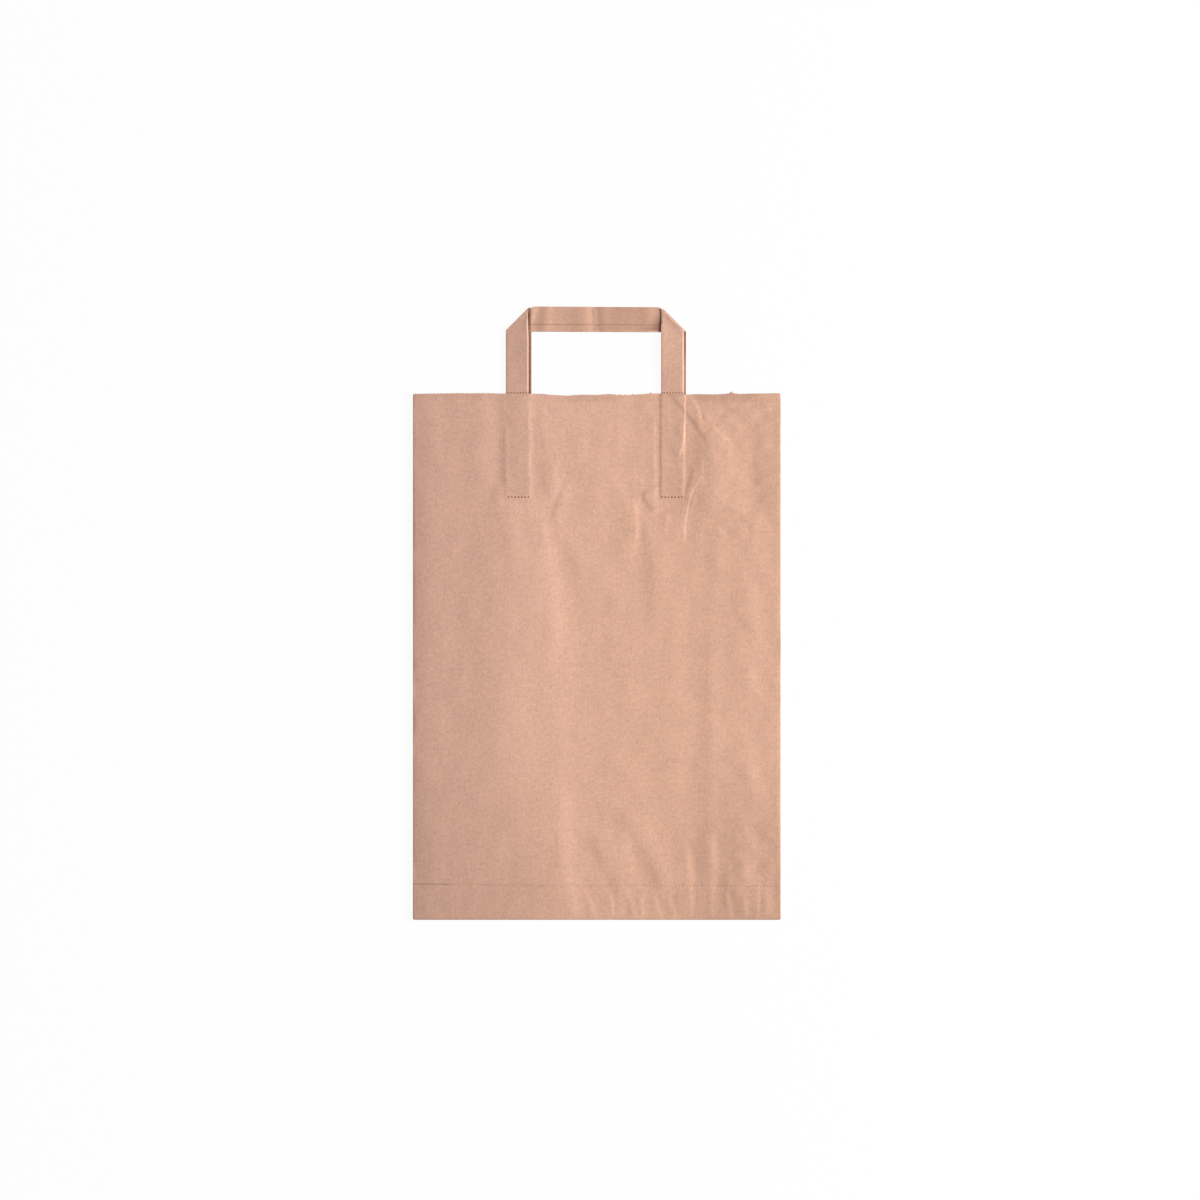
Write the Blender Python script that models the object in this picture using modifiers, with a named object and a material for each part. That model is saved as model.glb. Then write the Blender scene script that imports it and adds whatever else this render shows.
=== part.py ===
"""Flat paper carrier bag: one folded, glued sheet and two folded paper strips as handles.

The bag lies on its back ply. +X is across the bag, +Y runs from the bottom fold to the
handles and +Z goes up through the plies. Lengths are in metres.
"""

import math

import bmesh
import bpy

# Bag
BAG_WIDTH = 0.320
BAG_HEIGHT = 0.4573
GUSSET_DEPTH = 0.120
PAPER = 0.00012
LIP_LENGTH = 0.0300
LIP_CREASE = 0.00064
GLUE_GAP = 0.00004
SEAM_OVERLAP = 0.020
SEAM_X = 0.0
SEAM_JOGGLE = 0.0016

# Handles
STRIP_WIDTH = 0.0200
STRIP_LAP = 0.0062
LAYER_GAP = 0.00004
HANDLE_SPAN = 0.1550
HANDLE_RISE = 0.0769
LEG_RUN = 0.0894
FOLD_INNER_RADIUS = 0.00013
FRONT_HANDLE_SHIFT = -0.00165
BACK_HANDLE_DROP = 0.0019
CLEARANCE = 0.0003

# Cut edges
TOOTH_PITCH = 0.0028
TOOTH_DEPTH = 0.0007

# How the front ply settles over what lies under it
SAG = 0.0006
SAG_WAVE = 0.25
SAG_WAVE_ACROSS = 0.085
SAG_WAVE_ALONG = 0.230
SAG_FADE = 0.040
SHOULDER_GAP = 0.0004
SHOULDER_WIDTH = 0.0026

# Mesh density
TURN_SEGMENTS = 4
FOLD_SEGMENTS = 6
LIP_SEGMENTS = 8
FRONT_COLUMN = 0.016
FRONT_ROW = 0.030
LEAST_SPACING = 0.00001

# Levels through the thickness, each the middle of a layer, stacked up from the rest plane
LAYER_PITCH = PAPER + LAYER_GAP
STRIP_THICKNESS = 2 * LAYER_PITCH + PAPER
FOLD_RADIUS = FOLD_INNER_RADIUS + STRIP_THICKNESS / 2
FOLD_REACH = (FOLD_RADIUS + STRIP_THICKNESS / 2) * math.sqrt(0.5)
BACK_PLY_Z = PAPER / 2
BACK_LEG_Z = PAPER + CLEARANCE + STRIP_THICKNESS / 2
BACK_BAR_Z = BACK_LEG_Z + 2 * FOLD_RADIUS
FRONT_BAR_Z = BACK_BAR_Z + STRIP_THICKNESS + CLEARANCE
FRONT_LEG_Z = FRONT_BAR_Z + 2 * FOLD_RADIUS
FRONT_PLY_Z = FRONT_LEG_Z + STRIP_THICKNESS / 2 + CLEARANCE + PAPER / 2
PLY_PITCH = (FRONT_PLY_Z - BACK_PLY_Z) / 3
LAP_STEP = PAPER + GLUE_GAP
LIP_BULGE = LIP_CREASE + LAP_STEP
LIP_Z = FRONT_PLY_Z + 2 * LAP_STEP

# Places along the bag, with the whole outline centred on the origin
BOTTOM_Y = -(BAG_HEIGHT + HANDLE_RISE) / 2
TUBE_BOTTOM_Y = BOTTOM_Y + LIP_BULGE + PAPER / 2
MOUTH_Y = BOTTOM_Y + BAG_HEIGHT
LEG_END_Y = MOUTH_Y - LEG_RUN
LIP_EDGE_Y = BOTTOM_Y + LIP_LENGTH

# Places across the bag
SIDE_RADIUS = PLY_PITCH / 2
SIDE_X = BAG_WIDTH / 2 - PAPER / 2 - SIDE_RADIUS
GUSSET_X = BAG_WIDTH / 2 - GUSSET_DEPTH / 2
GUSSET_TURN_X = GUSSET_X + PAPER / 2 + SIDE_RADIUS


def smooth_step(value, low, high):
    """Rises smoothly from 0 at low to 1 at high."""
    share = min(max((value - low) / (high - low), 0.0), 1.0)
    return share * share * (3.0 - 2.0 * share)


def spaced(start, stop, step):
    """Values from start to stop, both included, in equal steps no longer than step."""
    count = max(1, math.ceil((abs(stop - start) - LEAST_SPACING) / step))
    return [start + (stop - start) * k / count for k in range(count + 1)]


def front_legs():
    """The left and right side of each front handle leg."""
    left = FRONT_HANDLE_SHIFT - HANDLE_SPAN / 2
    right = FRONT_HANDLE_SHIFT + HANDLE_SPAN / 2
    return [(left, left + STRIP_WIDTH), (right - STRIP_WIDTH, right)]


def leg_cover(x, y):
    """1 where the front ply lies over a leg of the front handle, 0 clear of it."""
    reach = SHOULDER_GAP + SHOULDER_WIDTH
    along = smooth_step(y, LEG_END_Y - reach, LEG_END_Y - SHOULDER_GAP)
    cover = 0.0
    for left, right in front_legs():
        inside = min(x - left, right - x)
        cover = max(cover, smooth_step(inside, -reach, -SHOULDER_GAP))
    return cover * along


def front_sag(x, y):
    """How far the front ply sinks between the gussets, beside and below the legs."""
    reach = SHOULDER_GAP + SHOULDER_WIDTH
    between = 1.0 - smooth_step(abs(x), GUSSET_X - reach, GUSSET_X - SHOULDER_GAP)
    above_lip = smooth_step(y, LIP_EDGE_Y, LIP_EDGE_Y + SAG_FADE)
    across = math.sin(2 * math.pi * x / SAG_WAVE_ACROSS)
    along = math.sin(2 * math.pi * (y - MOUTH_Y) / SAG_WAVE_ALONG)
    wave = 1.0 - SAG_WAVE * (0.5 + 0.5 * across * along)
    return SAG * between * above_lip * wave * (1.0 - leg_cover(x, y))


def half_turn(centre_x, start_z, stop_z, side):
    """The points of a fold's half circle, without its two ends, bulging to one side."""
    middle = (start_z + stop_z) / 2
    half = (stop_z - start_z) / 2
    points = []
    for k in range(1, TURN_SEGMENTS):
        angle = math.pi * (k / TURN_SEGMENTS - 0.5)
        points.append((centre_x + side * abs(half) * math.cos(angle), middle + half * math.sin(angle)))
    return points


def front_columns():
    """Places across the front ply: even ones, and those where its form changes."""
    reach = SHOULDER_GAP + SHOULDER_WIDTH
    marks = [-SIDE_X, SIDE_X]
    for side in (-1, 1):
        marks += [side * (GUSSET_X - reach), side * (GUSSET_X - SHOULDER_GAP)]
    for left, right in front_legs():
        marks += [left - reach, left - SHOULDER_GAP, right + SHOULDER_GAP, right + reach]
    marks.sort()
    columns = [marks[0]]
    for start, stop in zip(marks, marks[1:]):
        columns += spaced(start, stop, FRONT_COLUMN)[1:]
    return columns


def tube_rows():
    """Places along the tube from its bottom end to the mouth."""
    reach = SHOULDER_GAP + SHOULDER_WIDTH
    marks = sorted([TUBE_BOTTOM_Y, LIP_EDGE_Y, LEG_END_Y - reach, LEG_END_Y - SHOULDER_GAP, MOUTH_Y])
    rows = [marks[0]]
    for start, stop in zip(marks, marks[1:]):
        rows += spaced(start, stop, FRONT_ROW)[1:]
    return rows


def tube_section():
    """The folded sheet's section as (x, z, ply), from the outer lap edge round to the inner one."""
    levels = [BACK_PLY_Z + k * PLY_PITCH for k in range(4)]
    half_lap = SEAM_OVERLAP / 2

    def turn(centre_x, start, stop, side):
        return [(x, z, "fold") for x, z in half_turn(centre_x, levels[start], levels[stop], side)]

    path = [(SEAM_X + half_lap, levels[0], "outer"), (-SIDE_X, levels[0], "outer")]
    path += turn(-SIDE_X, 0, 1, -1)
    path += [(-SIDE_X, levels[1], "gusset"), (-GUSSET_TURN_X, levels[1], "gusset")]
    path += turn(-GUSSET_TURN_X, 1, 2, 1)
    path += [(-GUSSET_TURN_X, levels[2], "gusset"), (-SIDE_X, levels[2], "gusset")]
    path += turn(-SIDE_X, 2, 3, -1)
    path += [(x, levels[3], "front") for x in front_columns()]
    path += turn(SIDE_X, 3, 2, 1)
    path += [(SIDE_X, levels[2], "gusset"), (GUSSET_TURN_X, levels[2], "gusset")]
    path += turn(GUSSET_TURN_X, 2, 1, -1)
    path += [(GUSSET_TURN_X, levels[1], "gusset"), (SIDE_X, levels[1], "gusset")]
    path += turn(SIDE_X, 1, 0, 1)
    path += [(SIDE_X, levels[0], "inner")]
    path += [(SEAM_X + half_lap + 2 * SEAM_JOGGLE, levels[0], "inner")]
    path += [(SEAM_X + half_lap + SEAM_JOGGLE, levels[0] + LAP_STEP, "inner")]
    path += [(SEAM_X - half_lap, levels[0] + LAP_STEP, "inner")]
    return path


def tube_row(section, y):
    """One row of the tube, with the front ply settled."""
    row = []
    for x, z, ply in section:
        row.append((x, y, z - front_sag(x, y) if ply == "front" else z))
    return row


def lip_point(x, z, distance):
    """A point of the back ply carried round the bottom fold and up over the front ply.

    The distance is along Y from the tube's end: negative round the fold, as a share of
    the half turn from -1 to 0, and then the real length up the front.
    """
    inward = z - BACK_PLY_Z
    middle = (BACK_PLY_Z + LIP_Z) / 2
    if distance < 0:
        angle = math.pi * (distance + 0.5)
    else:
        angle = math.pi / 2
    y = TUBE_BOTTOM_Y - (LIP_BULGE - inward) * math.cos(angle)
    return (x, y + max(distance, 0.0), middle + (LIP_Z - middle - inward) * math.sin(angle))


def toothed(row, direction):
    """The row of a sheared edge: teeth that point along direction, aligned through all plies."""
    half_pitch = TOOTH_PITCH / 2
    made = []
    for k, (x, y, z) in enumerate(row):
        made.append((float(k), (x, y, z)))
        if k + 1 == len(row):
            break
        next_x, next_y, next_z = row[k + 1]
        low, high = sorted((x, next_x))
        steps = range(math.floor(low / half_pitch) - 1, math.ceil(high / half_pitch) + 2)
        places = [n * half_pitch for n in steps]
        places = [place for place in places if low + LEAST_SPACING < place < high - LEAST_SPACING]
        for place in places if next_x > x else reversed(places):
            share = (place - x) / (next_x - x)
            point = (place, y + (next_y - y) * share, z + (next_z - z) * share)
            made.append((k + share, point))
    cut = []
    for station, (x, y, z) in made:
        phase = (x / TOOTH_PITCH) % 1.0
        cut.append((station, (x, y - direction * TOOTH_DEPTH * abs(2 * phase - 1), z)))
    return cut


def plain(row):
    """A row with a whole-number station for each of its points."""
    return [(float(k), point) for k, point in enumerate(row)]


def add_row(bm, row):
    """The vertices of a row, each with its station."""
    return [(station, bm.verts.new(point)) for station, point in row]


def bridge(bm, lower, upper, start, stop):
    """Faces between two rows, one for each step of the whole-number stations."""
    for k in range(start, stop):
        edge = [vertex for station, vertex in lower if k <= station <= k + 1]
        far = [vertex for station, vertex in upper if k <= station <= k + 1]
        bm.faces.new(edge + far[::-1])


def finished(name, bm, thickness, material, collection):
    """The object of an open sheet with its paper thickness."""
    bmesh.ops.recalc_face_normals(bm, faces=bm.faces[:])
    mesh = bpy.data.meshes.new(name)
    bm.to_mesh(mesh)
    bm.free()
    mesh.materials.append(material)
    mesh.shade_smooth()
    mesh.set_sharp_from_angle(angle=math.radians(40))
    obj = bpy.data.objects.new(name, mesh)
    collection.objects.link(obj)
    solidify = obj.modifiers.new("paper_thickness", "SOLIDIFY")
    solidify.thickness = thickness
    solidify.offset = 0.0
    solidify.use_even_offset = False
    solidify.use_rim = True
    return obj


def make_bag_body(material, collection):
    """The bag as one sheet: tube with two gussets, lengthwise lap seam and bottom lip."""
    bm = bmesh.new()
    section = tube_section()
    places = tube_rows()
    rows = [add_row(bm, plain(tube_row(section, y))) for y in places[:-1]]
    rows.append(add_row(bm, toothed(tube_row(section, places[-1]), 1)))
    for lower, upper in zip(rows, rows[1:]):
        bridge(bm, lower, upper, 0, len(section) - 1)

    turns = [k / LIP_SEGMENTS - 1 for k in range(1, LIP_SEGMENTS)]
    for ply in ("outer", "inner"):
        chosen = [k for k, point in enumerate(section) if point[2] == ply]
        panel = [section[k][:2] for k in chosen]
        lower = [(float(k), rows[0][station][1]) for k, station in enumerate(chosen)]
        for distance in turns + [0.0]:
            upper = add_row(bm, plain([lip_point(x, z, distance) for x, z in panel]))
            bridge(bm, lower, upper, 0, len(panel) - 1)
            lower = upper
        edge = [lip_point(x, z, LIP_EDGE_Y - TUBE_BOTTOM_Y) for x, z in panel]
        upper = add_row(bm, toothed(edge, 1))
        bridge(bm, lower, upper, 0, len(panel) - 1)
    return finished("bag_body", bm, PAPER, material, collection)


def strip_section():
    """The handle strip's folded section as (place across, height), from lap edge to inner flap edge.

    The outer face is the highest layer. Both flaps lie under it, and the lapping flap is the
    lowest.
    """
    deep_turn = PAPER / 2 + LAYER_PITCH
    shallow_turn = PAPER / 2 + LAYER_PITCH / 2
    section = [(STRIP_LAP, -LAYER_PITCH), (deep_turn, -LAYER_PITCH)]
    section += half_turn(deep_turn, -LAYER_PITCH, LAYER_PITCH, -1)
    section += [(deep_turn, LAYER_PITCH), (STRIP_WIDTH - shallow_turn, LAYER_PITCH)]
    section += half_turn(STRIP_WIDTH - shallow_turn, LAYER_PITCH, 0.0, 1)
    section += [(STRIP_WIDTH - shallow_turn, 0.0), (deep_turn, 0.0)]
    return section


def handle_rows(shift, rise, leg_z, bar_z):
    """Rows of the strip from one leg's end, up and over the bar, to the other leg's end.

    Each leg turns into the bar at a fold on the diagonal of the corner square. There the strip
    wraps half round a line, so the leg lies over the bar and the strip shows its other face.
    """
    facing = 1.0 if leg_z > bar_z else -1.0
    middle = (leg_z + bar_z) / 2
    bar_y = MOUTH_Y + rise - FOLD_REACH - STRIP_WIDTH
    section = strip_section()
    diagonal = math.sqrt(0.5)

    def fold_row(side, angle):
        row = []
        for across, height in section:
            reach = FOLD_RADIUS + height
            out = reach * math.sin(angle) * diagonal
            x = shift + side * (HANDLE_SPAN / 2 - across + out)
            row.append((x, bar_y + across + out, middle + facing * reach * math.cos(angle)))
        return row

    def leg_row(side, y):
        row = []
        for across, height in section:
            row.append((shift + side * (HANDLE_SPAN / 2 - across), y, leg_z + facing * height))
        return row

    angles = [math.pi * k / FOLD_SEGMENTS for k in range(FOLD_SEGMENTS + 1)]
    rows = [toothed(leg_row(-1, LEG_END_Y), -1)]
    rows += [plain(leg_row(-1, MOUTH_Y))]
    rows += [plain(fold_row(-1, angle)) for angle in angles]
    rows += [plain(fold_row(1, angle)) for angle in reversed(angles)]
    rows += [plain(leg_row(1, MOUTH_Y))]
    rows += [toothed(leg_row(1, LEG_END_Y), -1)]
    return rows, len(section)


def make_handle(name, shift, rise, leg_z, bar_z, material, collection):
    """A handle as one strip, folded lengthwise and then over at both upper corners."""
    bm = bmesh.new()
    points, count = handle_rows(shift, rise, leg_z, bar_z)
    rows = [add_row(bm, row) for row in points]
    for lower, upper in zip(rows, rows[1:]):
        bridge(bm, lower, upper, 0, count - 1)
    return finished(name, bm, PAPER, material, collection)


def linear(red, green, blue):
    """A display colour of 0 to 255 a channel as a linear colour."""
    made = []
    for channel in (red, green, blue):
        value = channel / 255
        made.append(value / 12.92 if value <= 0.04045 else ((value + 0.055) / 1.055) ** 2.4)
    return (*made, 1.0)


def make_paper(name, colour, roughness):
    """A plain matt paper material."""
    material = bpy.data.materials.new(name)
    material.use_nodes = True
    shader = material.node_tree.nodes["Principled BSDF"]
    shader.inputs["Base Color"].default_value = colour
    shader.inputs["Roughness"].default_value = roughness
    shader.inputs["Metallic"].default_value = 0.0
    material.diffuse_color = colour
    return material


def main():
    for obj in list(bpy.data.objects):
        bpy.data.objects.remove(obj, do_unlink=True)
    collection = bpy.data.collections.new("paper_carrier_bag")
    bpy.context.scene.collection.children.link(collection)

    bag_paper = make_paper("bag_paper", linear(212, 169, 147), 0.82)
    front_paper = make_paper("front_handle_paper", linear(206, 163, 141), 0.80)
    back_paper = make_paper("back_handle_paper", linear(204, 161, 139), 0.80)

    make_bag_body(bag_paper, collection)
    make_handle(
        "front_handle",
        FRONT_HANDLE_SHIFT,
        HANDLE_RISE,
        FRONT_LEG_Z,
        FRONT_BAR_Z,
        front_paper,
        collection,
    )
    make_handle(
        "back_handle",
        0.0,
        HANDLE_RISE - BACK_HANDLE_DROP,
        BACK_LEG_Z,
        BACK_BAR_Z,
        back_paper,
        collection,
    )


if __name__ == "__main__":
    main()
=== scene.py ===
"""A flat kraft paper carrier bag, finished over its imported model.

The bag lies on its back ply. +X is across the bag, +Y runs from the bottom fold to the handles
and +Z goes up through the plies. Every length is in metres unless its name says millimetres.
"""

import math

import bpy
import numpy as np
from bpy.props import FloatProperty, FloatVectorProperty, PointerProperty
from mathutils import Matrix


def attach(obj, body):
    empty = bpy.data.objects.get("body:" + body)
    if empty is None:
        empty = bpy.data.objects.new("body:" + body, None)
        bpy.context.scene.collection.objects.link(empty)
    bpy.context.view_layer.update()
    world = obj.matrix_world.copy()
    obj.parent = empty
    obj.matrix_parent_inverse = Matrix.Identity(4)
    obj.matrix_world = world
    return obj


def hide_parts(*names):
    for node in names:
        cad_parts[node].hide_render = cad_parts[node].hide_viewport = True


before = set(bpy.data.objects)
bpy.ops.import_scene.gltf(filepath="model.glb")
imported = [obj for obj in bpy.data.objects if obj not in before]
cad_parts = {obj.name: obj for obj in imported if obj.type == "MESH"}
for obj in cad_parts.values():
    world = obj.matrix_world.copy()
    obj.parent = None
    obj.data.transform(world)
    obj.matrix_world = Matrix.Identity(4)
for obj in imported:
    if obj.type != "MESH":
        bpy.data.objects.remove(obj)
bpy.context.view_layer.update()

bl_info = {
    "name": "Paper carrier bag",
    "version": (1, 0, 0),
    "blender": (4, 5, 0),
    "location": "3D View > Sidebar > Paper bag",
    "description": "Makes a flat kraft paper carrier bag with folded strip handles",
    "category": "Add Mesh",
}

MM = 0.001
BODY = "root"
SHEET_UV = "flat_sheet"
WHITE = (1.0, 1.0, 1.0, 1.0)

# Bag, as the model has it
PAPER = 0.00012
BAG_WIDTH = 0.320
BAG_HEIGHT = 0.4573
GUSSET_DEPTH = 0.120
LIP_LENGTH = 0.0300
LAP_STEP = 0.00016
LIP_BULGE = 0.00064 + LAP_STEP
SEAM_OVERLAP = 0.020
SEAM_JOGGLE = 0.0016
LIP_LEAN = 0.006
LIP_TOOTH_PITCH = 0.0032
FOLD_FLAT_LENGTH = 0.0041
SEAM_RAMP = 0.009

# Handles, as the model has them
STRIP_WIDTH = 0.0200
LAYER_PITCH = 0.00016
STRIP_THICKNESS = 2 * LAYER_PITCH + PAPER
HANDLE_SPAN = 0.1550
HANDLE_RISE = 0.0769
LEG_RUN = 0.0894
FOLD_RADIUS = 0.00013 + STRIP_THICKNESS / 2
FOLD_REACH = (FOLD_RADIUS + STRIP_THICKNESS / 2) * math.sqrt(0.5)
FRONT_HANDLE_SHIFT = -0.00165
BACK_HANDLE_DROP = 0.0019

# How far the real handles lie from the model's: the bar's lower edge at each end, and how far
# the bar's upper flap stands out past the strip's width
FRONT_BAR_DROP = (-0.0017, -0.0024)
BACK_BAR_DROP = (-0.0001, -0.0007)
BACK_LEG_SHIFT = (0.0006, 0.0001)
BAR_SPREAD = 0.0016
CLEARANCE = 0.0003

# Levels through the thickness, each the middle of a layer
BACK_PLY_Z = PAPER / 2
BACK_LEG_Z = PAPER + CLEARANCE + STRIP_THICKNESS / 2
BACK_BAR_Z = BACK_LEG_Z + 2 * FOLD_RADIUS
FRONT_BAR_Z = BACK_BAR_Z + STRIP_THICKNESS + CLEARANCE
FRONT_LEG_Z = FRONT_BAR_Z + 2 * FOLD_RADIUS
FRONT_PLY_Z = FRONT_LEG_Z + STRIP_THICKNESS / 2 + CLEARANCE + PAPER / 2
PLY_PITCH = (FRONT_PLY_Z - BACK_PLY_Z) / 3
LIP_Z = FRONT_PLY_Z + 2 * LAP_STEP

# Places along and across the bag
BOTTOM_Y = -(BAG_HEIGHT + HANDLE_RISE) / 2
TUBE_BOTTOM_Y = BOTTOM_Y + LIP_BULGE + PAPER / 2
MOUTH_Y = BOTTOM_Y + BAG_HEIGHT
LEG_END_Y = MOUTH_Y - LEG_RUN
LIP_EDGE_Y = BOTTOM_Y + LIP_LENGTH
SIDE_RADIUS = PLY_PITCH / 2
SIDE_X = BAG_WIDTH / 2 - PAPER / 2 - SIDE_RADIUS
GUSSET_X = BAG_WIDTH / 2 - GUSSET_DEPTH / 2
GUSSET_TURN_X = GUSSET_X + PAPER / 2 + SIDE_RADIUS
FRONT_LEGS = tuple(
    (FRONT_HANDLE_SHIFT + side * (HANDLE_SPAN - STRIP_WIDTH) / 2 - STRIP_WIDTH / 2,
     FRONT_HANDLE_SHIFT + side * (HANDLE_SPAN - STRIP_WIDTH) / 2 + STRIP_WIDTH / 2)
    for side in (-1, 1)
)

# How far the front ply's cut edge stands above the mouth, by place across, in millimetres
MOUTH_WANDER = (
    (-160, 0.1), (-131, 0.5), (-100, 0.6), (-84, 0.4), (-47, 0.1), (-37, -0.9), (-33, -1.3),
    (-26, -1.4), (-15, -0.9), (3, -0.6), (10.5, -0.2), (18.5, -0.7), (26, -1), (34, -0.6),
    (44.5, 0.4), (50, 0.3), (80, -0.8), (88, -0.2), (101, -0.5), (111.5, 0), (115, 0.4),
    (116.8, 2.2), (118.6, 0.7), (124.5, -0.2), (133, 0.3), (143, 0.5), (160, 0.4),
)

# Creases of the front ply, in millimetres. Each is its height, its width towards +X, its width
# towards -X, and its path, as places across from the middle and down from the mouth.
CREASES = (
    (0.6, 1, 9, ((75.2, 24), (75.2, 36.4), (73.4, 46.8), (70, 57))),
    (0.56, 10, 2.6, ((57, -12), (72, 7), (79, 14.5), (86.9, 25), (95.6, 38.2), (101, 50))),
    (0.4, 1.1, 5, ((80, 3), (85.2, 8.5), (88.2, 15), (89.8, 23), (94, 28))),
    (0.26, 6, 2.2, ((91, 18.5), (97, 22), (104, 25.6))),
    (0.42, 1.6, 8, ((98, 26.8), (106, 34.3), (113, 40.4), (122, 49))),
    (0.5, 10, 15, ((98, 28), (98.5, 50), (98.5, 72), (97, 104))),
    (1, 30, 20, ((102, 38), (102, 58), (102, 78), (99, 108))),
    (-1, 10.5, 30, ((128, 16), (135, 40), (138.6, 55), (138.6, 72), (136, 88), (128, 108))),
    (-0.22, 3, 5, ((133.5, 42), (134.9, 52), (134.9, 66), (133, 84))),
    (0.4, 10, 2.4, ((133, 38), (139, 50), (141.2, 62), (140.4, 84))),
    (0.3, 4, 10, ((132.5, -4), (139, 15.5), (143.5, 43.3), (144, 62))),
    (0.26, 1.8, 7.5, ((90, 54), (90.4, 66), (90.8, 82))),
    (0.38, 0.9, 12, ((92, 69), (87, 77.2), (82.2, 85.1), (79.2, 95), (77.4, 105.8), (75.9, 116.4),
        (75.2, 134))),
    (0.28, 4, 1.8, ((86, 62), (82.4, 74), (79.6, 83), (76.5, 94))),
    (0.16, 1.2, 5, ((87.6, 82), (83, 95.5), (80.4, 108))),
    (0.2, 2, 9, ((90, 108.4), (89.6, 126), (87.7, 145), (82.6, 174.6))),
    (0.24, 1.8, 5, ((61.3, 101.7), (60.2, 112), (59, 124))),
    (0.28, 1.3, 10, ((50, 12), (49.6, 40), (50, 64), (50.6, 98))),
    (0.18, 1.4, 8, ((39.8, 64), (38.9, 75.5), (35.4, 93.8), (33, 102))),
    (0.72, 3.4, 13, ((28.4, 86), (30.7, 96.4), (33.1, 114.6), (31.6, 128), (28.1, 139.9),
        (25, 152))),
    (0.76, 14, 3.6, ((40.2, 83), (43.6, 89.5), (50, 99.8), (52, 104))),
    (0.8, 24, 8, ((44, 98), (46.6, 122), (50, 150), (51, 212))),
    (0.3, 2.6, 10, ((12.4, 62), (14.6, 73.7), (19.4, 85), (29, 105))),
    (0.28, 4, 8, ((-13, 32), (-12.5, 46), (-13, 60))),
    (0.2, 3, 8, ((25, 28), (19, 42), (15, 54))),
    (0.4, 8, 14, ((0, 50), (2, 80), (0, 110))),
    (0.35, 8, 14, ((-100, -14), (-99, 40), (-99.5, 92))),
    (-0.5, 5, 13, ((-86.6, -14), (-86.4, 40), (-88, 96))),
    (0.24, 1.1, 4, ((-78.4, 22), (-78.2, 60), (-78.2, 94))),
    (0.35, 2.4, 4.5, ((-86, 76), (-85.2, 88), (-85, 100))),
    (0.36, 7, 2.6, ((-26, 74), (-27.8, 81), (-33.1, 97.2), (-38.3, 110), (-40.5, 116))),
    (0.6, 7, 8, ((-42, 54), (-39, 74), (-40, 94))),
    (0.22, 1.8, 14, ((-46.4, 106), (-46.2, 120), (-45.8, 138))),
    (0.85, 9, 26, ((-47.8, 104), (-47.5, 130), (-46.5, 146), (-43, 170), (-40.5, 214),
        (-39.5, 236))),
    (0.65, 20, 6.5, ((-37, 110), (-30.3, 123.9), (-20, 135.5), (-14.4, 149.4), (-11, 166),
        (-9, 194))),
    (0.45, 14, 16, ((-43, 180), (-37.5, 254), (-34, 350))),
    (1.15, 10, 28, ((-36, 330), (-34, 380), (-29, 425), (-25, 470))),
    (0.14, 3, 9, ((-27, 410), (-22, 443), (-20.5, 470))),
    (0.35, 9, 8, ((2, 142), (11, 166), (20, 196))),
    (0.45, 6, 12, ((-76, 92), (-74, 118), (-75, 146))),
    (0.88, 13, 9.5, ((24, 354), (32, 374), (42.5, 393), (55, 416), (62.5, 437))),
    (0.4, 8.5, 10, ((14, 378), (25, 403), (31, 432))),
    (0.64, 12, 6.5, ((-6, 380), (2, 394), (11, 409), (20, 426), (26, 442))),
    (0.4, 12, 9, ((38, 392), (49, 412), (60, 442))),
    (0.42, 6, 12, ((72, 384), (76, 400), (78, 416), (80, 430))),
    (0.42, 2.6, 12, ((76, 394), (79.6, 412), (80.4, 430), (80.4, 462))),
    (0.3, 6, 10, ((98.5, 366), (97.6, 400), (97.4, 466))),
    (0.42, 4.4, 12, ((89, 380), (95.8, 391), (99, 404), (98.6, 420), (97, 436))),
    (0.8, 12, 14, ((117, 408), (124, 424), (129, 454))),
    (0.55, 1.2, 9, ((140.4, 426), (139.9, 445), (139, 468))),
    (0.36, 4, 5, ((149, 424), (146.5, 448), (145, 466))),
    (0.3, 1.5, 9, ((10.2, 430), (12.3, 444), (14.8, 468))),
    (0.34, 3.4, 1.9, ((22.5, 428.6), (28.4, 442), (33.4, 462))),
    (0.34, 1.4, 7, ((47.3, 429.2), (51, 441), (58, 466))),
    (0.32, 1.3, 7, ((60.9, 433.6), (65, 447), (70, 466))),
    (0.32, 1.5, 4, ((37, 434), (39, 446), (41, 464))),
    (0.32, 1.5, 4, ((112.2, 429.3), (117.3, 464))),
    (0.32, 1.4, 4, ((128, 434), (129.5, 464))),
    (0.24, 1.3, 5, ((-9, 432), (-5, 446), (1, 466))),
    (0.22, 1.2, 3, ((97, 440), (99, 450), (101, 468))),
    (0.42, 4, 12, ((120.8, 298.5), (134, 330), (146.5, 363))),
    (0.26, 9, 4, ((96, 326.2), (118, 340), (138.1, 353.5))),
    (0.34, 34, 12, ((98.5, 190), (98, 325), (95, 410))),
    (0.1, 6, 5, ((98.8, 180), (98.4, 325), (97, 370))),
    (0.3, 26, 9, ((-44, 4), (-44, 50), (-44, 96))),
    (0.24, 4, 7, ((132, 168), (138, 200), (134, 228))),
    (0.28, 5, 6, ((122, 212), (128, 240), (141, 264))),
    (0.35, 5, 8, ((104, 112), (107, 130), (105, 152))),
    (0.26, 6, 3, ((142, 94), (136, 128), (144, 152))),
    (0.4, 30, 9, ((-146, -30), (-147, 220), (-146, 490))),
)

# How far the crease over the left leg's right edge strays, in millimetres: places down from the
# mouth, and how far across
EDGE_STRAY = ((14, 29, 40, 47, 54, 62, 78, 96), (-0.7, -0.6, 0.6, 0.9, -0.2, 0, 1.2, 0.4))

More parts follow.
